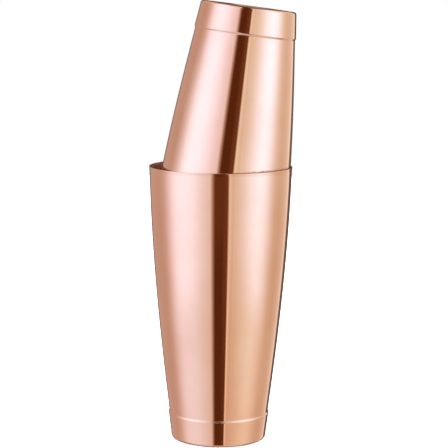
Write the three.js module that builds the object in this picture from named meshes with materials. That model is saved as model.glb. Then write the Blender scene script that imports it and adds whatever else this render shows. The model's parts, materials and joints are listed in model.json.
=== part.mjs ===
// A two-piece (tin-on-tin) cocktail shaker: a large tin stands upright, and a small tin is turned over and
// pushed into its mouth at a slant. Both are built the same way: a deep-drawn cup with a rolled rim, a pressed
// base cap over its foot, a steel ballast disc bonded between the two, and a weld round the cap's lip.
// Millimetres, +Z up. The origin is the centre of the large tin's underside, and the small tin leans to +X.
import * as THREE from "three";

// The two tins. foot, lower, upper and mouth are the wall's outer radii at its two ends and its two inner
// control points, a third and two thirds of the way up, which give the wall its slightly barrelled taper.
const LARGE_TIN = { name: "large_tin", height: 176.4, foot: 29.6, lower: 37.5, upper: 44, mouth: 45.5 };
const SMALL_TIN = { name: "small_tin", height: 125, foot: 29.6, lower: 34.8, upper: 40, mouth: 42.1 };

// How the small tin sits in the large one: the slant of its axis, and the centre of its base.
const SLANT = THREE.MathUtils.degToRad(7.17);
const SMALL_BASE_X = 16.8;
const SMALL_BASE_Z = 277.75;

// Sheet metal and the layers between the cup's floor and the base cap, from the resting plane upwards.
const CUP_SHEET = 0.6;
const CAP_SHEET = 0.5;
const FIT_GAP = 0.15; // between pieces that touch
const RECESS_DEPTH = 0.8; // the middle of the underside stands clear of the table
const BALLAST_THICKNESS = 2.5;
const BOND_THICKNESS = 0.4;
const BALLAST_BOTTOM = RECESS_DEPTH + CAP_SHEET + FIT_GAP;
const BOND_BOTTOM = BALLAST_BOTTOM + BALLAST_THICKNESS + FIT_GAP;
const CUP_BOTTOM = BOND_BOTTOM + BOND_THICKNESS + FIT_GAP;

// Radii of the flat pieces, and the rounded details of the sections.
const RECESS_RADIUS = 22;
const RECESS_SLOPE = 1.5; // radial width of the step from the recess to the resting ring
const BALLAST_RADIUS = 28.5;
const BALLAST_CHAMFER = 0.3;
const BOND_RADIUS = 26.5;
const CUP_CORNER = 3.5;
const CAP_CORNER = 1.5;
const CAP_LIP = 16.2; // height of the base cap's lip
const WELD_HEIGHT = 1;
const RIM_BEAD_RADIUS = 0.45;

// Facets.
const SEGMENTS = 60; // round each piece
const WALL_SPANS = 8;
const CORNER_SPANS = 3;
const BEAD_SPANS = 7;

const COPPER = new THREE.Color(0.86, 0.52, 0.4);
const WORN_COPPER = new THREE.Color(0.8, 0.46, 0.34);
const STEEL = new THREE.Color(0.6, 0.61, 0.62);
const EPOXY = new THREE.Color(0.72, 0.68, 0.55);

function material(color, roughness, metalness) {
  return new THREE.MeshStandardMaterial({ color, roughness, metalness });
}

function point(radius, height) {
  return new THREE.Vector2(radius, height);
}

// Points of a circular arc in the section plane, from one angle to another, in degrees from +radius.
function arc(center, radius, from, to, spans) {
  const start = THREE.MathUtils.degToRad(from);
  const end = THREE.MathUtils.degToRad(to);
  return new THREE.EllipseCurve(center.x, center.y, radius, radius, start, end, to < from).getPoints(spans);
}

// Outer radius of a tin's wall at a height above its resting plane.
function wallRadius(tin, height) {
  const wall = new THREE.CubicBezierCurve(
    point(tin.foot, 0),
    point(tin.lower, tin.height / 3),
    point(tin.upper, (tin.height * 2) / 3),
    point(tin.mouth, tin.height),
  );
  return wall.getPoint(height / tin.height).x;
}

// Points of the wall between two heights, moved sideways by offset.
function wallPoints(tin, from, to, offset, spans) {
  return Array.from({ length: spans + 1 }, (_, i) => {
    const height = THREE.MathUtils.lerp(from, to, i / spans);
    return point(wallRadius(tin, height) + offset, height);
  });
}

// The wall's lean from the axis near the foot, in degrees, which the rounded corners end on.
function footTaper(tin) {
  return THREE.MathUtils.radToDeg(Math.atan((tin.lower - tin.foot) / (tin.height / 3)));
}

// A rounded corner between a flat floor and the tapered wall that stands at radius wall above it.
function footCorner(tin, floor, radius, offset) {
  const top = floor + radius;
  const center = point(wallRadius(tin, top) + offset - radius, top);
  return arc(center, radius, -90, -footTaper(tin), CORNER_SPANS);
}

function turned(profile) {
  return new THREE.LatheGeometry(profile, SEGMENTS).rotateX(Math.PI / 2);
}

// The drawn cup: floor, rounded corner, barrelled wall and an outward-rolled rim.
function cup(tin) {
  const innerFloor = CUP_BOTTOM + CUP_SHEET;
  const innerCorner = CUP_CORNER - CUP_SHEET;
  const wallFoot = CUP_BOTTOM + CUP_CORNER;
  const wallTop = tin.height - 2 * RIM_BEAD_RADIUS;
  const outerWall = wallPoints(tin, wallFoot, wallTop, 0, WALL_SPANS);
  const innerWall = wallPoints(tin, wallFoot, wallTop, -CUP_SHEET, WALL_SPANS);
  const beadCenter = point(tin.mouth - CUP_SHEET + RIM_BEAD_RADIUS, tin.height - RIM_BEAD_RADIUS);
  return turned([
    point(0, CUP_BOTTOM),
    ...footCorner(tin, CUP_BOTTOM, CUP_CORNER, 0),
    ...outerWall,
    ...arc(beadCenter, RIM_BEAD_RADIUS, -60, 180, BEAD_SPANS),
    ...innerWall.reverse(),
    ...footCorner(tin, innerFloor, innerCorner, -CUP_SHEET).reverse(),
    point(0, innerFloor),
  ]);
}

// The pressed base cap: a dish round the cup's foot, with a resting ring and a recessed middle.
function baseCap(tin) {
  const ring = RECESS_RADIUS + RECESS_SLOPE;
  const outer = FIT_GAP + CAP_SHEET;
  const innerCorner = CAP_CORNER - CAP_SHEET;
  return turned([
    point(0, RECESS_DEPTH),
    point(RECESS_RADIUS, RECESS_DEPTH),
    point(ring, 0),
    ...footCorner(tin, 0, CAP_CORNER, outer),
    ...wallPoints(tin, CAP_CORNER, CAP_LIP, outer, 2),
    ...wallPoints(tin, CAP_CORNER, CAP_LIP, FIT_GAP, 2).reverse(),
    ...footCorner(tin, CAP_SHEET, innerCorner, FIT_GAP).reverse(),
    point(ring - CAP_SHEET, CAP_SHEET),
    point(RECESS_RADIUS - CAP_SHEET, RECESS_DEPTH + CAP_SHEET),
    point(0, RECESS_DEPTH + CAP_SHEET),
  ]);
}

function ballastDisc() {
  const top = BALLAST_BOTTOM + BALLAST_THICKNESS;
  return turned([
    point(0, BALLAST_BOTTOM),
    point(BALLAST_RADIUS - BALLAST_CHAMFER, BALLAST_BOTTOM),
    point(BALLAST_RADIUS, BALLAST_BOTTOM + BALLAST_CHAMFER),
    point(BALLAST_RADIUS, top - BALLAST_CHAMFER),
    point(BALLAST_RADIUS - BALLAST_CHAMFER, top),
    point(0, top),
  ]);
}

function bondLayer() {
  return turned([
    point(0, BOND_BOTTOM),
    point(BOND_RADIUS, BOND_BOTTOM),
    point(BOND_RADIUS, BOND_BOTTOM + BOND_THICKNESS),
    point(0, BOND_BOTTOM + BOND_THICKNESS),
  ]);
}

// The dressed weld: a rounded fillet that closes the step from the cap's lip to the wall.
function seamWeld(tin) {
  const bottom = CAP_LIP + FIT_GAP;
  const top = bottom + WELD_HEIGHT;
  const inner = wallPoints(tin, bottom, top, FIT_GAP, 1);
  const rounded = new THREE.QuadraticBezierCurve(
    point(inner[0].x + CAP_SHEET, bottom),
    point(inner[0].x + CAP_SHEET, bottom + WELD_HEIGHT * 0.6),
    inner[1],
  );
  return turned([inner[0], ...rounded.getPoints(CORNER_SPANS), inner[0]]);
}

function makeTin(tin) {
  const group = new THREE.Group();
  const pieces = [
    ["cup", cup(tin), material(COPPER, 0.16, 1)],
    ["base_cap", baseCap(tin), material(COPPER, 0.18, 1)],
    ["ballast_disc", ballastDisc(), material(STEEL, 0.45, 1)],
    ["bond_layer", bondLayer(), material(EPOXY, 0.7, 0)],
    ["seam_weld", seamWeld(tin), material(WORN_COPPER, 0.28, 1)],
  ];
  for (const [name, geometry, look] of pieces) {
    const mesh = new THREE.Mesh(geometry, look);
    mesh.name = `${tin.name}_${name}`;
    group.add(mesh);
  }
  return group;
}

function makeShaker() {
  const shaker = new THREE.Group();
  const smallTin = makeTin(SMALL_TIN);
  smallTin.position.set(SMALL_BASE_X, 0, SMALL_BASE_Z);
  smallTin.rotation.y = Math.PI + SLANT; // mouth down, base leaning to +X
  shaker.add(makeTin(LARGE_TIN), smallTin);
  return shaker;
}

export default makeShaker();
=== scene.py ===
"""A copper cocktail shaker set: an upright large tin with a small tin upturned in its mouth at a slant.

Both tins are smooth turned solids that stand for the faceted CAD nodes, piece by piece: a drawn cup with a
rolled rim, a pressed base cap, the dressed weld round the cap's lip, and the ballast disc and bond layer
between cup and cap. Sections are drawn in millimetres in a tin's own frame (Z from its resting plane towards
its mouth) and laid in the row frame, in metres, by the tin's foot mount.
"""

import json
import math
from collections import namedtuple

import bpy
from mathutils import Matrix, Vector, noise


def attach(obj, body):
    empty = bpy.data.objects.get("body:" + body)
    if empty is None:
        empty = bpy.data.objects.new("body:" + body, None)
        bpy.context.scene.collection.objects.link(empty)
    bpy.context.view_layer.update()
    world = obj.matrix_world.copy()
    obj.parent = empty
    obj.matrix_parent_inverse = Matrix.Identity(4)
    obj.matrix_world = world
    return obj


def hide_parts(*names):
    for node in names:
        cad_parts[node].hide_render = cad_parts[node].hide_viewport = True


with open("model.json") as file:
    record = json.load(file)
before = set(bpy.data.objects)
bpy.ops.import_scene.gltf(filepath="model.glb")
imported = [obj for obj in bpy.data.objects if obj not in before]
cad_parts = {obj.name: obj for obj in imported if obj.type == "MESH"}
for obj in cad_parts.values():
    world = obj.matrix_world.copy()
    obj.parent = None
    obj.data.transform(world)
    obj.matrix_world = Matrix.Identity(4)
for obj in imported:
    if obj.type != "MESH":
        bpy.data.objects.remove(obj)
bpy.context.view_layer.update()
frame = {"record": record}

MM = 0.001

# The two tins, in millimetres. foot, lower, upper and mouth are the wall's outer radii at its two ends and
# its two inner control points, a third and two thirds of the way up. weld is the height of the weld's face,
# and seed makes the ripples and the bond's edge differ from tin to tin.
Tin = namedtuple("Tin", "name height foot lower upper mouth weld seed")
LARGE_TIN = Tin("large_tin", 176.4, 29.6, 37.5, 44, 45.5, 1.15, 3.0)
SMALL_TIN = Tin("small_tin", 125, 29.6, 34.8, 40, 42.1, 1.35, 11.0)
RESTING_RING_RADIUS = 26.2  # where the foot mounts lie on the base cap

# Sheet metal and the layers between the cup's floor and the base cap, from the resting plane upwards.
CUP_SHEET = 0.6
CAP_SHEET = 0.5
FIT_GAP = 0.15
RECESS_DEPTH = 0.8
BALLAST_THICKNESS = 2.5
BOND_THICKNESS = 0.4
BALLAST_BOTTOM = RECESS_DEPTH + CAP_SHEET + FIT_GAP
BOND_BOTTOM = BALLAST_BOTTOM + BALLAST_THICKNESS + FIT_GAP
CUP_BOTTOM = BOND_BOTTOM + BOND_THICKNESS + FIT_GAP

# Radii and rounded details of the sections.
RECESS_RADIUS = 22
RECESS_SLOPE = 1.5
RECESS_ROUNDING = 0.5
RING_FLAT = 1.5  # how far the flat of the resting ring runs before the foot corner
BALLAST_RADIUS = 28.5
BALLAST_ROUNDING = 0.3
CENTRE_DRILL_RADIUS = 1.6
CENTRE_DRILL_DEPTH = 1.1
BOND_RADIUS = 26.5
BOND_WANDER = 0.5
BOND_NOISE = 2
BOND_EDGE = 6  # a power; only the outer edge of the bond wanders
BOND_ROUNDING = BOND_THICKNESS * 0.45
CUP_CORNER = 3.5
CUP_FLAT_SHORT = 1  # the cup's flat floor ends this far inside its corner
CAP_CORNER = 1.6
CAP_LIP = 16.2
WELD_SEAM = 0.02
WELD_SHOULDER = 0.3
WELD_TOE = 0.02  # how far the weld's top edge stands off the wall
WELD_LEAN = 0.01
WELD_ROUNDING = 0.6
WELD_RIPPLES = 110
WELD_RIPPLE_WANDER = 5
WELD_RIPPLE_NOISE = 4  # radius of the circle that the noise is read along
WELD_RIPPLE_RISE = 3  # ripples reach full depth over the first third of the weld
WELD_RIPPLE_DEPTH = 0.02
RIM_BEAD_RADIUS = 0.38
RIM_LIP_RADIUS = 0.2
RIM_START = -7  # degrees, where the flare of the wall runs into the bead
RIM_SHOULDER = 25  # degrees, where the bead turns over into the lip
RIM_FLARE_HEIGHT = 2.5
RIM_FLARE_SPANS = 8

# Mesh density.
SEGMENTS = 240
WALL_SPANS = 60
CAP_SPANS = 10
ARC_STEP = 10  # degrees
HOLD = 0.12  # a ring this close to a rounding keeps the flat beside it flat
CREASE = 35  # degrees; a sharper edge than this is a crease

# Looks, as linear colours.
COPPER = (0.955, 0.62, 0.50)
COPPER_DEEP = (0.93, 0.575, 0.455)
COPPER_PALE = (0.95, 0.70, 0.60)
# painted shade: the dark colour of the contact line where the small tin sits in the large tin's rim
COPPER_CONTACT_SHADE = (0.28, 0.20, 0.16)
# painted shade: the inside's copper is darker than the outside's, standing for shade inside the tins,
# besides the satin roughness
COPPER_INSIDE_SHADED = (0.65, 0.42, 0.31)
STEEL = (0.60, 0.60, 0.61)
STEEL_DULL = (0.42, 0.41, 0.40)
EPOXY = (0.62, 0.55, 0.36)
EPOXY_DARK = (0.45, 0.38, 0.22)
FLOOR_COLOUR = (0.92, 0.92, 0.92)


# ---------------------------------------------------------------- sections


def wall_radius(tin, height):
    """Outer radius of the wall, a cubic Bezier curve with evenly spaced heights."""
    t = height / tin.height
    u = 1 - t
    return u**3 * tin.foot + 3 * u * u * t * tin.lower + 3 * u * t * t * tin.upper + t**3 * tin.mouth


def wall(tin, start, end, offset, spans):
    """Points of the wall between two heights, moved sideways by offset."""
    heights = [start + (end - start) * i / spans for i in range(spans + 1)]
    return [(wall_radius(tin, h) + offset, h) for h in heights]


def arc(centre, radius, start, end):
    """Points of an arc, with its angles in degrees from the outward direction."""
    spans = max(2, round(abs(end - start) / ARC_STEP))
    angles = [math.radians(start + (end - start) * i / spans) for i in range(spans + 1)]
    return [(centre[0] + radius * math.cos(a), centre[1] + radius * math.sin(a)) for a in angles]


def foot_taper(tin):
    """The wall's lean near the foot, in degrees."""
    return math.degrees(math.atan((tin.lower - tin.foot) / (tin.height / 3)))


def foot_corner(tin, floor, radius, offset):
    """The rounded corner between a flat floor and the wall above it."""
    top = floor + radius
    centre = (wall_radius(tin, top) + offset - radius, top)
    return arc(centre, radius, -90, -foot_taper(tin))


def rounded(corners, radius):
    """A run of straight lines with its inner corners rounded, and a ring close to each rounding."""
    points = [corners[0]]
    for before, corner, after in zip(corners, corners[1:], corners[2:]):
        a = (Vector(before) - Vector(corner)).normalized()
        b = (Vector(after) - Vector(corner)).normalized()
        half = a.angle(b) / 2
        back = radius / math.tan(half)
        centre = Vector(corner) + (a + b).normalized() * radius / math.sin(half)
        start = Vector(corner) + a * back - centre
        sweep = start.angle_signed(Vector(corner) + b * back - centre)
        spans = max(2, round(math.degrees(abs(sweep)) / ARC_STEP))
        turned_points = [
            centre + Matrix.Rotation(-sweep * i / spans, 2) @ start for i in range(spans + 1)
        ]
        points += [tuple(turned_points[0] + a * HOLD)]
        points += [tuple(p) for p in turned_points]
        points += [tuple(turned_points[-1] + b * HOLD)]
    return points + [corners[-1]]


# ---------------------------------------------------------------- meshes


def placement(tin):
    """The tin's own frame in the row frame, from its foot mount."""
    mounts = frame["record"]["mounts"]
    foot = next(m for m in mounts if m["name"] == tin.name + "_foot")
    down = Vector(foot["axis"]).normalized()
    towards_mount = Vector((abs(down.z), 0, -down.x))
    y_axis = Vector((0, 1, 0))
    z_axis = -down
    x_axis = y_axis.cross(z_axis)
    matrix = Matrix((x_axis, y_axis, z_axis)).transposed().to_4x4()
    matrix.translation = Vector(foot["pos_m"]) - towards_mount * RESTING_RING_RADIUS * MM
    return matrix


def turned(name, tin, stretches, shift=None):
    """A closed solid of revolution.

    A stretch is (points, satin, wear): a run of the section, how far its finish is from the mirror polish of
    the outside to the satin of the inside, and how rubbed it is. In the copper, satin also darkens the
    colour as painted shade inside the tins. A section starts and ends on the axis, or runs back to its own
    start.
    shift(angle, radius, height) moves a point off the perfect circle. The mesh carries satin and wear, and
    each point's place in the tin's frame and from the large tin's rim.
    """
    section = [(r, z, satin, wear) for points, satin, wear in stretches for r, z in points]
    on_axis = [abs(r) < 1e-6 for r, _, _, _ in section]
    local, finishes, rings = [], [], []
    for (radius, height, satin, wear), single in zip(section, on_axis):
        rings.append(len(local))
        for i in range(1 if single else SEGMENTS):
            angle = 2 * math.pi * i / SEGMENTS
            r, z = shift(angle, radius, height) if shift else (radius, height)
            local.append(Vector((r * math.cos(angle), r * math.sin(angle), z)) * MM)
            finishes.append((satin, wear))

    def corner(ring, i):
        return rings[ring] + (0 if on_axis[ring] else i % SEGMENTS)

    last = len(section) - 1
    pairs = list(zip(range(last), range(1, last + 1)))
    if not on_axis[0]:
        pairs.append((last, 0))
    faces = []
    for low, high in pairs:
        for i in range(SEGMENTS):
            face = [corner(low, i), corner(low, i + 1), corner(high, i + 1), corner(high, i)]
            faces.append(list(dict.fromkeys(face)))

    matrix = placement(tin)
    rim_centre = Vector((0, 0, LARGE_TIN.height)) * MM
    mesh = bpy.data.meshes.new(name)
    mesh.from_pydata([matrix @ p for p in local], [], faces)
    points = {
        "tin_place": local,
        "seat_place": [matrix @ point - rim_centre for point in local],
    }
    for attribute, values in points.items():
        made = mesh.attributes.new(attribute, "FLOAT_VECTOR", "POINT")
        made.data.foreach_set("vector", [c for value in values for c in value])
    for attribute, k in (("satin", 0), ("wear", 1)):
        made = mesh.attributes.new(attribute, "FLOAT", "POINT")
        made.data.foreach_set("value", [finish[k] for finish in finishes])
    mesh.shade_smooth()
    mesh.set_sharp_from_angle(angle=math.radians(CREASE))
    piece = bpy.data.objects.new(name, mesh)
    bpy.context.scene.collection.objects.link(piece)
    return piece


def rim(tin):
    """The flare below the rim, the section from there over the lip, and the height of the flare's foot."""
    shoulder = math.radians(RIM_SHOULDER)
    narrowing = RIM_BEAD_RADIUS - RIM_LIP_RADIUS
    bead_height = tin.height - RIM_LIP_RADIUS - narrowing * math.sin(shoulder)
    bead = (tin.mouth - CUP_SHEET + RIM_BEAD_RADIUS, bead_height)
    outer = (bead[0] + narrowing * math.cos(shoulder), tin.height - RIM_LIP_RADIUS)
    inner = (tin.mouth - CUP_SHEET + RIM_LIP_RADIUS, tin.height - RIM_LIP_RADIUS)
    face = arc(bead, RIM_BEAD_RADIUS, RIM_START, RIM_SHOULDER)
    foot = face[0][1] - RIM_FLARE_HEIGHT
    reach = face[0][0] - wall_radius(tin, face[0][1])
    flare = []
    for i in range(RIM_FLARE_SPANS):
        t = i / RIM_FLARE_SPANS
        height = foot + RIM_FLARE_HEIGHT * t
        flare.append((wall_radius(tin, height) + reach * t * t, height))
    lip = face[:-1]
    lip += arc(outer, RIM_LIP_RADIUS, RIM_SHOULDER, 90)
    lip += arc(inner, RIM_LIP_RADIUS, 90, 180)
    return flare, lip, foot


def cup(tin):
    """The drawn cup: mirror-polished outside, satin inside with its colour painted darker as shade, and worn
    bright along the lip.
    """
    flare, lip, flare_foot = rim(tin)
    inner_floor = CUP_BOTTOM + CUP_SHEET
    wall_foot = CUP_BOTTOM + CUP_CORNER
    floor_radius = tin.foot - CUP_CORNER - CUP_FLAT_SHORT
    underside = [(0, CUP_BOTTOM), (floor_radius, CUP_BOTTOM)]
    inner_corner = foot_corner(tin, inner_floor, CUP_CORNER - CUP_SHEET, -CUP_SHEET)
    inside = wall(tin, wall_foot, tin.height - RIM_LIP_RADIUS - HOLD, -CUP_SHEET, WALL_SPANS)
    return turned(
        tin.name + "_cup_turned",
        tin,
        [
            (underside + foot_corner(tin, CUP_BOTTOM, CUP_CORNER, 0), 1, 0),
            (wall(tin, wall_foot + HOLD, flare_foot - HOLD, 0, WALL_SPANS), 0, 0),
            (flare, 0, 0.2),
            (lip, 0.1, 1),
            (inside[::-1], 0.9, 0),
            (inner_corner[::-1], 1, 0),
            ([(floor_radius, inner_floor), (0, inner_floor)], 1, 0),
        ],
    )


def base_cap(tin):
    """The pressed cap over the foot, with a recessed underside inside its resting ring."""
    ring = RECESS_RADIUS + RECESS_SLOPE
    outer = FIT_GAP + CAP_SHEET
    underside = rounded(
        [(0, RECESS_DEPTH), (RECESS_RADIUS, RECESS_DEPTH), (ring, 0), (ring + RING_FLAT, 0)], RECESS_ROUNDING
    )
    upper_side = rounded(
        [
            (ring + 1, CAP_SHEET),
            (ring - CAP_SHEET, CAP_SHEET),
            (RECESS_RADIUS - CAP_SHEET, RECESS_DEPTH + CAP_SHEET),
            (0, RECESS_DEPTH + CAP_SHEET),
        ],
        RECESS_ROUNDING / 2,
    )
    inner_corner = foot_corner(tin, CAP_SHEET, CAP_CORNER - CAP_SHEET, FIT_GAP)
    return turned(
        tin.name + "_base_cap_turned",
        tin,
        [
            (underside, 0, 0),
            (foot_corner(tin, 0, CAP_CORNER, outer), 0, 0.2),
            (wall(tin, CAP_CORNER + HOLD, CAP_LIP - HOLD, outer, CAP_SPANS), 0, 0),
            ([(wall_radius(tin, CAP_LIP) + outer, CAP_LIP)], 0, 0.6),
            (wall(tin, CAP_LIP, CAP_CORNER, FIT_GAP, CAP_SPANS), 1, 0),
            (inner_corner[::-1], 1, 0),
            (upper_side, 1, 0),
        ],
    )


def noise_round(angle, radius, seed):
    """Noise that comes back to its own value after a whole turn."""
    return noise.noise((math.cos(angle) * radius, math.sin(angle) * radius, seed))


def seam_weld(tin):
    """The dressed weld: a rounded fillet from the cap's lip to the wall, with faint ripples left in it."""
    bottom = CAP_LIP + WELD_SEAM
    top = bottom + tin.weld
    inner = wall_radius(tin, bottom) + FIT_GAP
    lip = (inner + CAP_SHEET, bottom)
    shoulder = (inner + CAP_SHEET + WELD_LEAN, bottom + WELD_SHOULDER)
    toe = (wall_radius(tin, top) + WELD_TOE, top)
    face = rounded([lip, shoulder, toe, (toe[0] + WELD_LEAN, top + WELD_SHOULDER)], WELD_ROUNDING)

    def ripple(angle, radius, height):
        wander = noise_round(angle, WELD_RIPPLE_NOISE, tin.seed)
        swing = math.sin(WELD_RIPPLES * angle + WELD_RIPPLE_WANDER * wander)
        on_face = radius > inner + CAP_SHEET / 5
        share = min(1, (height - bottom) / tin.weld * WELD_RIPPLE_RISE) if on_face else 0
        return radius + WELD_RIPPLE_DEPTH * share * swing, height

    return turned(
        tin.name + "_seam_weld_turned",
        tin,
        [([(inner, bottom)], 1, 0), (face, 0.5, 0.3), ([(inner, top + WELD_SHOULDER)], 1, 0)],
        shift=ripple,
    )


def ballast_disc(tin):
    """The turned steel weight, with a centre drilling on top."""
    top = BALLAST_BOTTOM + BALLAST_THICKNESS
    section = rounded(
        [
            (0, BALLAST_BOTTOM),
            (BALLAST_RADIUS, BALLAST_BOTTOM),
            (BALLAST_RADIUS, top),
            (CENTRE_DRILL_RADIUS, top),
            (0, top - CENTRE_DRILL_DEPTH),
        ],
        BALLAST_ROUNDING,
    )
    return turned(tin.name + "_ballast_disc_turned", tin, [(section, 1, 0)])


def bond_layer(tin):
    """The cured adhesive, squeezed to an uneven edge."""
    top = BOND_BOTTOM + BOND_THICKNESS
    section = rounded(
        [(0, BOND_BOTTOM), (BOND_RADIUS, BOND_BOTTOM), (BOND_RADIUS, top), (0, top)], BOND_ROUNDING
    )

    def squeezed(angle, radius, height):
        wander = noise_round(angle, BOND_NOISE, tin.seed)
        share = max(0, radius / BOND_RADIUS) ** BOND_EDGE
        return radius + BOND_WANDER * share * wander, height

    return turned(tin.name + "_bond_layer_turned", tin, [(section, 1, 0)], shift=squeezed)


# ---------------------------------------------------------------- node graphs


class Graph:
    """Short calls for building a node tree."""

    def __init__(self, tree):
        self.tree = tree
        tree.nodes.clear()

    def node(self, kind, inputs=None, **settings):
        made = self.tree.nodes.new(kind)
        for key, value in settings.items():
            setattr(made, key, value)
        for key, value in (inputs or {}).items():
            self.feed(made.inputs[key], value)
        return made

    def feed(self, socket, value):
        if isinstance(value, bpy.types.NodeSocket):
            self.tree.links.new(value, socket)
        else:
            socket.default_value = value

    def math(self, operation, a, b=0.0):
        return self.node("ShaderNodeMath", {0: a, 1: b}, operation=operation).outputs[0]

    def step(self, value, start, end):
        """0 up to start, 1 from end on, and smooth between."""
        inputs = {"Value": value, "From Min": start, "From Max": end}
        return self.node("ShaderNodeMapRange", inputs, interpolation_type="SMOOTHSTEP").outputs[0]

    def window(self, value, rise, fall):
        """1 between two ramps, each a pair of start and end, and 0 outside them."""
        before_fall = self.math("SUBTRACT", 1.0, self.step(value, *fall))
        return self.math("MULTIPLY", self.step(value, *rise), before_fall)

    def spread(self, value, low, high, start=0.0, end=1.0):
        """value from start..end, spread over low..high."""
        inputs = {"Value": value, "From Min": start, "From Max": end, "To Min": low, "To Max": high}
        return self.node("ShaderNodeMapRange", inputs).outputs[0]

    def mix(self, share, a, b):
        """Colour a where share is 0 and colour b where it is 1."""
        made = self.node("ShaderNodeMix", data_type="RGBA")
        self.feed(made.inputs[0], share)
        for socket, colour in ((made.inputs[6], a), (made.inputs[7], b)):
            self.feed(socket, colour if isinstance(colour, bpy.types.NodeSocket) else (*colour, 1))
        return made.outputs[2]

    def scaled(self, colour, share):
        return self.node("ShaderNodeVectorMath", {0: colour, "Scale": share}, operation="SCALE").outputs[0]

    def added(self, a, b):
        return self.node("ShaderNodeVectorMath", {0: a, 1: b}, operation="ADD").outputs[0]

    def split(self, vector):
        return self.node("ShaderNodeSeparateXYZ", {0: vector}).outputs

    def noise(self, vector, scale, detail=2.0, roughness=0.5, stretch=(1, 1, 1)):
        """Noise in a stretched space, 0..1 round a half."""
        stretched = self.node("ShaderNodeMapping", {"Vector": vector, "Scale": stretch})
        inputs = {
            "Vector": stretched.outputs[0],
            "Scale": scale,
            "Detail": detail,
            "Roughness": roughness,
        }
        return self.node("ShaderNodeTexNoise", inputs).outputs[0]

    def attribute(self, name):
        return self.node("ShaderNodeAttribute", attribute_name=name)


def new_material(name):
    material = bpy.data.materials.new(name)
    material.use_nodes = True
    return material, Graph(material.node_tree)


def finish_material(graph, shader):
    graph.node("ShaderNodeOutputMaterial", {"Surface": shader.outputs[0]})


def finish_surface(graph, metallic, colour, rough, height, strength, distance):
    """A bumped surface. strength scales the bump, and distance is its depth in metres."""
    bump = graph.node("ShaderNodeBump", {"Height": height, "Strength": strength, "Distance": distance})
    shader = graph.node(
        "ShaderNodeBsdfPrincipled",
        {"Base Color": colour, "Metallic": metallic, "Roughness": rough, "Normal": bump.outputs[0]},
    )
    finish_material(graph, shader)


# ---------------------------------------------------------------- materials

# Finishes: roughness from and to, over the noise that varies it.
MIRROR_ROUGHNESS = (0.035, 0.075)
BRUSHED_ROUGHNESS = (0.34, 0.46)
WELD_ROUGHNESS = (0.12, 0.26)
STEEL_ROUGHNESS = (0.28, 0.55)
EPOXY_ROUGHNESS = (0.35, 0.60)
WORN_ROUGHER = 0.1
WORN_PALER = 0.6
LATHE_RINGS = 14000  # radians per metre of radius

# Where the small tin bears on the large tin's rim, in metres from the rim's centre: a thin line of painted
# contact shade, on a band that is also made rougher as a rub.
CONTACT_SHADE_BOTTOM = (0.0, 0.0002)
CONTACT_SHADE_TOP = (0.0008, 0.0012)
CONTACT_SHADE_SIDE = (0.010, 0.028)
CONTACT_SHADE_DARKER = 0.75
CONTACT_RUB_ROUGHER = 0.12


def polished_copper():
    """Copper plate, a mirror outside and satin inside with its colour painted darker as shade, with
    polishing lines, wear, and a dark line of painted contact shade on a rougher rubbed band where the small
    tin meets the rim.
    """
    material, g = new_material("polished_copper")
    place = g.attribute("tin_place").outputs["Vector"]
    satin = g.attribute("satin").outputs["Fac"]
    wear = g.attribute("wear").outputs["Fac"]

    lines = g.noise(place, scale=90, detail=3, roughness=0.6, stretch=(1, 1, 60))
    patches = g.noise(place, scale=28, detail=4, roughness=0.6)
    grain = g.noise(place, scale=2500, detail=2)
    worn = g.math("MULTIPLY", wear, g.step(g.noise(place, scale=420, detail=3), start=0.38, end=0.62))

    tone = g.mix(g.step(patches, start=0.35, end=0.7), COPPER, COPPER_DEEP)
    # Painted shade: where satin, the colour goes to the darker inside copper, standing for shade inside the
    # tins.
    tone = g.mix(satin, tone, COPPER_INSIDE_SHADED)
    # Painted contact shade: a dark line on the small tin's wall just above the large tin's rim, on the side
    # where the tins touch; the same band is also made rougher.
    seat_x, _, seat_z = g.split(g.attribute("seat_place").outputs["Vector"])
    band = g.window(seat_z, CONTACT_SHADE_BOTTOM, CONTACT_SHADE_TOP)
    streaky = g.spread(g.noise(place, scale=600, detail=3), 0.35, 1.0, start=0.35, end=0.6)
    contact_rub_and_shade = g.math("MULTIPLY", g.math("MULTIPLY", band, g.step(seat_x, *CONTACT_SHADE_SIDE)), streaky)
    tone = g.mix(g.math("MULTIPLY", contact_rub_and_shade, CONTACT_SHADE_DARKER), tone, COPPER_CONTACT_SHADE)
    colour = g.mix(g.math("MULTIPLY", worn, WORN_PALER), tone, COPPER_PALE)

    polish = g.spread(patches, *MIRROR_ROUGHNESS, start=0.3, end=0.7)
    brushed = g.spread(lines, *BRUSHED_ROUGHNESS, start=0.25, end=0.75)
    rough = g.math("ADD", polish, g.math("MULTIPLY", satin, brushed))
    rough = g.math("ADD", rough, g.math("MULTIPLY", worn, WORN_ROUGHER))
    rough = g.math("ADD", rough, g.math("MULTIPLY", contact_rub_and_shade, CONTACT_RUB_ROUGHER))

    hairlines = g.math("MULTIPLY", lines, g.spread(satin, low=0.15, high=0.4))
    hairlines = g.math("ADD", hairlines, g.math("MULTIPLY", grain, 0.05))
    finish_surface(g, 1.0, colour, rough, hairlines, strength=0.12, distance=0.00004)
    return material


def dressed_weld():
    """The same plate over a ground and buffed weld: duller, with fine pits."""
    material, g = new_material("dressed_weld")
    place = g.attribute("tin_place").outputs["Vector"]
    mottle = g.noise(place, scale=700, detail=4, roughness=0.65)
    pits = g.step(g.noise(place, scale=1900, detail=2), start=0.62, end=0.72)
    colour = g.mix(g.step(mottle, start=0.35, end=0.7), COPPER, COPPER_DEEP)
    rough = g.spread(mottle, *WELD_ROUGHNESS, start=0.3, end=0.7)
    height = g.math("SUBTRACT", g.math("MULTIPLY", mottle, 0.5), pits)
    finish_surface(g, 1.0, colour, rough, height, strength=0.25, distance=0.00005)
    return material


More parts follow.
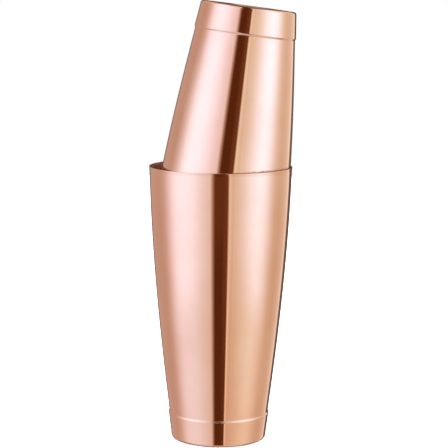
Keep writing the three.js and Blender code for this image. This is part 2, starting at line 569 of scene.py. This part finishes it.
def ballast_steel():
    """Turned mild steel, with the lathe's facing rings and dull patches of scale."""
    material, g = new_material("ballast_steel")
    place = g.attribute("tin_place").outputs["Vector"]
    x, y, _ = g.split(place)
    radius = g.math("SQRT", g.math("ADD", g.math("MULTIPLY", x, x), g.math("MULTIPLY", y, y)))
    rings = g.math("SINE", g.math("MULTIPLY", radius, LATHE_RINGS))
    scale_patches = g.step(g.noise(place, scale=110, detail=5, roughness=0.65), start=0.52, end=0.68)
    colour = g.mix(scale_patches, STEEL, STEEL_DULL)
    rough = g.spread(scale_patches, *STEEL_ROUGHNESS)
    height = g.math("ADD", g.math("MULTIPLY", rings, 0.5), g.noise(place, scale=1500, detail=3))
    finish_surface(g, 1.0, colour, rough, height, strength=0.3, distance=0.00006)
    return material


def bond_epoxy():
    """Cured epoxy, with trowel marks, bubbles and darker thin spots."""
    material, g = new_material("bond_epoxy")
    place = g.attribute("tin_place").outputs["Vector"]
    clouds = g.noise(place, scale=90, detail=4, roughness=0.6)
    cells = g.node("ShaderNodeTexVoronoi", {"Vector": place, "Scale": 420})
    bubbles = g.math("SUBTRACT", 1.0, g.step(cells.outputs["Distance"], start=0.1, end=0.3))
    colour = g.mix(g.step(clouds, start=0.35, end=0.7), EPOXY, EPOXY_DARK)
    rough = g.spread(clouds, *EPOXY_ROUGHNESS, start=0.3, end=0.7)
    height = g.math("SUBTRACT", clouds, g.math("MULTIPLY", bubbles, 0.4))
    finish_surface(g, 0.0, colour, rough, height, strength=0.5, distance=0.0003)
    return material


# ---------------------------------------------------------------- studio

# What the tins reflect: soft light by direction, in degrees. Azimuth is from the camera's side, and positive
# towards +X. A panel rises over the first pair of azimuths and falls over the second, and its colour goes
# from the low one below the horizon to the high one above it.
Panel = namedtuple("Panel", "rise fall low high")
PANELS = (
    Panel((-120, -78), (0, 10), (0.20, 0.25, 0.265), (0.27, 0.38, 0.475)),  # left fill
    Panel((-108, -68), (-62, -12), (0.15, 0.28, 0.43), (0.40, 0.62, 0.95)),  # left key
    Panel((-10, 0), (78, 116), (0.05, 0.03, 0.03), (0.15, 0.24, 0.25)),  # right fill
    Panel((20, 66), (66, 104), (0.16, 0.23, 0.21), (0.40, 0.79, 1.30)),  # right key
    Panel((112, 148), (200, 210), (0.16, 0.20, 0.27), (0.11, 0.16, 0.19)),  # right back
)
AMBIENT_LEFT = (0.57, 0.42, 0.345)
AMBIENT_RIGHT = (0.67, 0.54, 0.39)
AMBIENT_TURN = (-12, 12)  # azimuths

# From the low colour to the high one: a slow rise and a quick one, by elevation, and the quick one's share.
SLOW_LIFT = (-32, 4)
QUICK_LIFT = (-22, -17)
QUICK_SHARE = 0.4

# Weaker patches of light, between two pairs of azimuths and two pairs of elevations.
Patch = namedtuple("Patch", "rise fall bottom top colour")
PATCHES = (
    Patch((80, 106), (150, 166), (-12, -4), (34, 44), (0.07, 0.11, 0.13)),  # right, above the horizon
    Patch((-124, -98), (-86, -56), (-2, 4), (9, 15), (0.07, 0.15, 0.18)),  # left, above the horizon
    Patch((-58, -46), (-26, -12), (-60, -40), (-9, -3), (0.0, 0.03, 0.035)),  # left of the gap, low down
    Patch((28, 40), (60, 76), (-28, -24), (-23, -19), (0.0, 0.05, 0.045)),  # right key, a paler band
    Patch((132, 142), (146, 148), (-60, -40), (34, 44), (0.10, 0.10, 0.10)),  # right, a bright edge
    Patch((20, 66), (66, 104), (18, 25), (38, 46), (-0.16, -0.42, -0.85)),  # the right key fades high up
    Patch((-108, -68), (-40, -12), (18, 25), (38, 46), (-0.08, -0.16, -0.22)),  # and so does the left one
    Patch((-170, -150), (-60, -45), (16, 26), (44, 54), (0.16, 0.14, 0.12)),  # left, high up
    Patch((45, 60), (150, 170), (16, 26), (44, 54), (0.16, 0.14, 0.12)),  # right, high up
)

# Fine upright streaks right of the gap: azimuth from the gap's middle, half width and gain.
STREAKS = ((15.7, 1.8, 0.13), (20.8, 3.6, -0.065), (25.2, 1.6, 0.02), (28.2, 1.5, -0.025), (30.8, 1.4, 0.02))

# The dark gap between the two keys, where the camera stands. It leans above LEAN_START.
GAP_CENTRE = 0.2
GAP_LEAN = 0.2  # degrees of azimuth per degree of elevation
LEAN_START = -5.5
LEAN_END = (17, 23)
GAP_HALF_WIDTH = 12.7
GAP_EDGE = ((-GAP_HALF_WIDTH - 5, -GAP_HALF_WIDTH + 0.5), (GAP_HALF_WIDTH, GAP_HALF_WIDTH + 2))
GAP_CORE = ((-GAP_HALF_WIDTH - 1.9, -GAP_HALF_WIDTH + 4.5), (GAP_HALF_WIDTH - 1.1, GAP_HALF_WIDTH + 0.9))
GAP_COLOUR = (0.096, 0.0265, 0.0075)
GAP_HAZE_COLOUR = (0.15, 0.048, 0.017)
GAP_EDGE_COLOUR = (0.50, 0.33, 0.22)

# The haze in the gap: along its right side, weaker low down, and across all of it in a band of elevations.
SIDE_HAZE = ((2, 8), (GAP_HALF_WIDTH + 2, GAP_HALF_WIDTH + 4))
SIDE_HAZE_LIFT = (-27, -17)
SIDE_HAZE_LOW = 0.45
BAND_HAZE = ((-19, -13), (-8, -2))
BAND_HAZE_SHARE = 0.6

# A bright line along the right side of the gap, which fades out above the top of LINE_FADE.
LINE_RISE = (12.6, 14.2)
LINE_FALL = (14.4, 16.4)
LINE_FADE = (-24, -16)
LINE_GAIN = 0.34

# Two dark flags that meet behind the tins, up to FLAG_TOP. The right one starts 2 degrees nearer low down.
FLAG_COLOUR = (0.15, 0.10, 0.08)
FLAG_TOP = (44, 54)
LEFT_FLAG = (-170, -150)
RIGHT_FLAG_STARTS = (145, 147)
RIGHT_FLAG_TURN = (-10, -2)
RIGHT_FLAG_EDGE = (0, 4)

# The ceiling, from the front colour to the back one by how far round it is, and dark straight above.
OVERHEAD_RISE = (50, 60)
OVERHEAD_TURN = (40, 90)
OVERHEAD_FRONT = (0.08, 0.06, 0.05)
OVERHEAD_BACK = (0.26, 0.22, 0.20)
ZENITH_RISE = (78, 86)
ZENITH_COLOUR = (0.12, 0.10, 0.09)

# Light from the floor, by how far round it is and how far below the horizon: bright further down, darker
# behind, and dark right under the tins.
BOUNCE_RISE = (34, 42)
BOUNCE_FRONT = (0.56, 0.54, 0.54)
BOUNCE_SIDE_TURN = (25, 55)
BOUNCE_SIDE = (0.72, 0.68, 0.64)
BOUNCE_LOW_RISE = (46, 58)
BOUNCE_LOW = (0.84, 0.75, 0.69)
BOUNCE_BACK_TURN = (75, 110)
BOUNCE_BACK = (0.36, 0.27, 0.23)
BOUNCE_UNDER_RISE = (68, 86)
BOUNCE_UNDER = (0.14, 0.11, 0.10)

BACKDROP_COLOUR = (1, 1, 1, 1)
AROUND_STRENGTH = 2.2
MIRROR_BOUNCES = 24  # light crosses many times between the nested tins


def soft_panels(g, azimuth, elevation):
    """The ambient light with the panels and patches on it."""
    slow = g.math("MULTIPLY", g.step(elevation, *SLOW_LIFT), 1 - QUICK_SHARE)
    lift = g.math("ADD", slow, g.math("MULTIPLY", g.step(elevation, *QUICK_LIFT), QUICK_SHARE))
    light = g.mix(g.step(azimuth, *AMBIENT_TURN), AMBIENT_LEFT, AMBIENT_RIGHT)
    for panel in PANELS:
        share = g.window(azimuth, panel.rise, panel.fall)
        light = g.added(light, g.scaled(g.mix(lift, panel.low, panel.high), share))
    for patch in PATCHES:
        across = g.window(azimuth, patch.rise, patch.fall)
        share = g.math("MULTIPLY", across, g.window(elevation, patch.bottom, patch.top))
        light = g.added(light, g.scaled(patch.colour, share))
    return light


def with_gain(g, light, share, gain):
    return g.scaled(light, g.math("ADD", 1.0, g.math("MULTIPLY", share, gain)))


def with_flags_and_ceiling(g, light, azimuth, elevation):
    left_flag = g.math("SUBTRACT", 1.0, g.step(azimuth, *LEFT_FLAG))
    right_start = g.spread(g.step(elevation, *RIGHT_FLAG_TURN), *RIGHT_FLAG_STARTS)
    right_flag = g.step(g.math("SUBTRACT", azimuth, right_start), *RIGHT_FLAG_EDGE)
    below_top = g.math("SUBTRACT", 1.0, g.step(elevation, *FLAG_TOP))
    flags = g.math("MULTIPLY", g.math("MAXIMUM", left_flag, right_flag), below_top)
    light = g.mix(flags, light, FLAG_COLOUR)
    away = g.math("ABSOLUTE", azimuth)
    overhead = g.mix(g.step(away, *OVERHEAD_TURN), OVERHEAD_FRONT, OVERHEAD_BACK)
    light = g.mix(g.step(elevation, *OVERHEAD_RISE), light, overhead)
    return g.mix(g.step(elevation, *ZENITH_RISE), light, ZENITH_COLOUR)


def with_gap(g, light, off_axis, elevation):
    """The light with the dark gap, its haze, and the bright line beside it."""
    haze_lift = g.spread(g.step(elevation, *SIDE_HAZE_LIFT), low=SIDE_HAZE_LOW, high=1.0)
    side_haze = g.math("MULTIPLY", g.window(off_axis, *SIDE_HAZE), haze_lift)
    band_haze = g.math("MULTIPLY", g.window(elevation, *BAND_HAZE), BAND_HAZE_SHARE)
    gap_colour = g.mix(g.math("MAXIMUM", side_haze, band_haze), GAP_COLOUR, GAP_HAZE_COLOUR)
    light = g.mix(g.window(off_axis, *GAP_EDGE), light, GAP_EDGE_COLOUR)
    light = g.mix(g.window(off_axis, *GAP_CORE), light, gap_colour)
    low = g.math("SUBTRACT", 1.0, g.step(elevation, *LINE_FADE))
    line = g.math("MULTIPLY", g.window(off_axis, LINE_RISE, LINE_FALL), low)
    return with_gain(g, light, line, LINE_GAIN)


def floor_bounce(g, azimuth, depth):
    away = g.math("ABSOLUTE", azimuth)
    bounce = g.mix(g.step(away, *BOUNCE_SIDE_TURN), BOUNCE_FRONT, BOUNCE_SIDE)
    bounce = g.mix(g.step(depth, *BOUNCE_LOW_RISE), bounce, BOUNCE_LOW)
    bounce = g.mix(g.step(away, *BOUNCE_BACK_TURN), bounce, BOUNCE_BACK)
    return g.mix(g.step(depth, *BOUNCE_UNDER_RISE), bounce, BOUNCE_UNDER)


def studio_light(g, azimuth, elevation):
    """The colour of the studio's light from a direction, as the metal reflects it."""
    light = soft_panels(g, azimuth, elevation)

    above_start = g.math("MAXIMUM", g.math("SUBTRACT", elevation, LEAN_START), 0.0)
    lean = g.math("MULTIPLY", above_start, GAP_LEAN)
    lean = g.math("MULTIPLY", lean, g.math("SUBTRACT", 1.0, g.step(elevation, *LEAN_END)))
    off_axis = g.math("SUBTRACT", azimuth, g.math("SUBTRACT", GAP_CENTRE, lean))
    for centre, half_width, gain in STREAKS:
        share = g.window(off_axis, (centre - half_width, centre), (centre, centre + half_width))
        light = with_gain(g, light, share, gain)

    light = with_flags_and_ceiling(g, light, azimuth, elevation)
    light = with_gap(g, light, off_axis, elevation)
    depth = g.math("MULTIPLY", elevation, -1)
    return g.mix(g.step(depth, *BOUNCE_RISE), light, floor_bounce(g, azimuth, depth))


def studio_world():
    """White all round for the camera and the floor, and the soft panels for what the metal reflects."""
    world = bpy.data.worlds.new("studio")
    bpy.context.scene.world = world
    world.use_nodes = True
    world.cycles.sampling_method = "NONE"
    g = Graph(world.node_tree)
    x, y, z = g.split(g.node("ShaderNodeTexCoord").outputs["Generated"])
    azimuth = g.math("DEGREES", g.math("ARCTAN2", x, g.math("MULTIPLY", y, -1)))
    elevation = g.math("DEGREES", g.math("ARCSINE", z))

    studio = g.node("ShaderNodeBackground", {"Color": studio_light(g, azimuth, elevation)})
    backdrop = g.node("ShaderNodeBackground", {"Color": BACKDROP_COLOUR})
    around = g.node("ShaderNodeBackground", {"Color": BACKDROP_COLOUR, "Strength": AROUND_STRENGTH})
    path = g.node("ShaderNodeLightPath")
    lit = g.node(
        "ShaderNodeMixShader", {0: path.outputs["Is Glossy Ray"], 1: around.outputs[0], 2: studio.outputs[0]}
    )
    seen = g.node(
        "ShaderNodeMixShader", {0: path.outputs["Is Camera Ray"], 1: lit.outputs[0], 2: backdrop.outputs[0]}
    )
    g.node("ShaderNodeOutputWorld", {"Surface": seen.outputs[0]})


# The floor, in metres. It lies just under the resting ring, so that the two flat faces aren't in one plane.
FLOOR_LEVEL = -0.0001
FLOOR_HALF_WIDTH = 1.5


def floor():
    """A plain pale floor that the metal doesn't mirror."""
    half = FLOOR_HALF_WIDTH
    corners = [(x, y, FLOOR_LEVEL) for x, y in ((-half, -half), (half, -half), (half, half), (-half, half))]
    mesh = bpy.data.meshes.new("floor")
    mesh.from_pydata(corners, [], [(0, 1, 2, 3)])
    material, g = new_material("floor")
    finish_material(g, g.node("ShaderNodeBsdfDiffuse", {"Color": (*FLOOR_COLOUR, 1)}))
    mesh.materials.append(material)
    piece = bpy.data.objects.new("floor", mesh)
    bpy.context.scene.collection.objects.link(piece)
    piece.visible_glossy = False


# The camera, in metres and degrees, in the row frame.
CAMERA_PLACE = (0.0024, -1.0885, 0.2934)
CAMERA_PITCH = 8.07
CAMERA_ROLL = 0.53
CAMERA_LENS = 137.88  # millimetres, as is the sensor's width
CAMERA_SENSOR = 36
CAMERA_REACH = 20


def camera():
    data = bpy.data.cameras.new("camera")
    data.lens = CAMERA_LENS
    data.sensor_width = CAMERA_SENSOR
    data.clip_end = CAMERA_REACH
    made = bpy.data.objects.new("camera", data)
    bpy.context.scene.collection.objects.link(made)
    pitch = Matrix.Rotation(math.radians(90 - CAMERA_PITCH), 4, "X")
    roll = Matrix.Rotation(math.radians(CAMERA_ROLL), 4, "Z")
    made.matrix_world = Matrix.Translation(CAMERA_PLACE) @ pitch @ roll
    bpy.context.scene.camera = made


# ---------------------------------------------------------------- the set


def main():
    copper = polished_copper()
    weld = dressed_weld()
    steel = ballast_steel()
    epoxy = bond_epoxy()
    makers = (
        ("cup", cup, copper, "polished_copper"),
        ("base_cap", base_cap, copper, "polished_copper"),
        ("seam_weld", seam_weld, weld, "dressed_weld"),
        ("ballast_disc", ballast_disc, steel, "ballast_steel"),
        ("bond_layer", bond_layer, epoxy, "bond_epoxy"),
    )
    for tin in (LARGE_TIN, SMALL_TIN):
        for part, make, material, slot in makers:
            piece = make(tin)
            piece.data.materials.append(material)
            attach(piece, tin.name)
            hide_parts(f"{tin.name}_{part}")
    studio_world()
    floor()
    camera()
    bpy.context.scene.view_settings.view_transform = "Standard"
    bpy.context.scene.cycles.max_bounces = MIRROR_BOUNCES
    bpy.context.scene.cycles.glossy_bounces = MIRROR_BOUNCES


main()
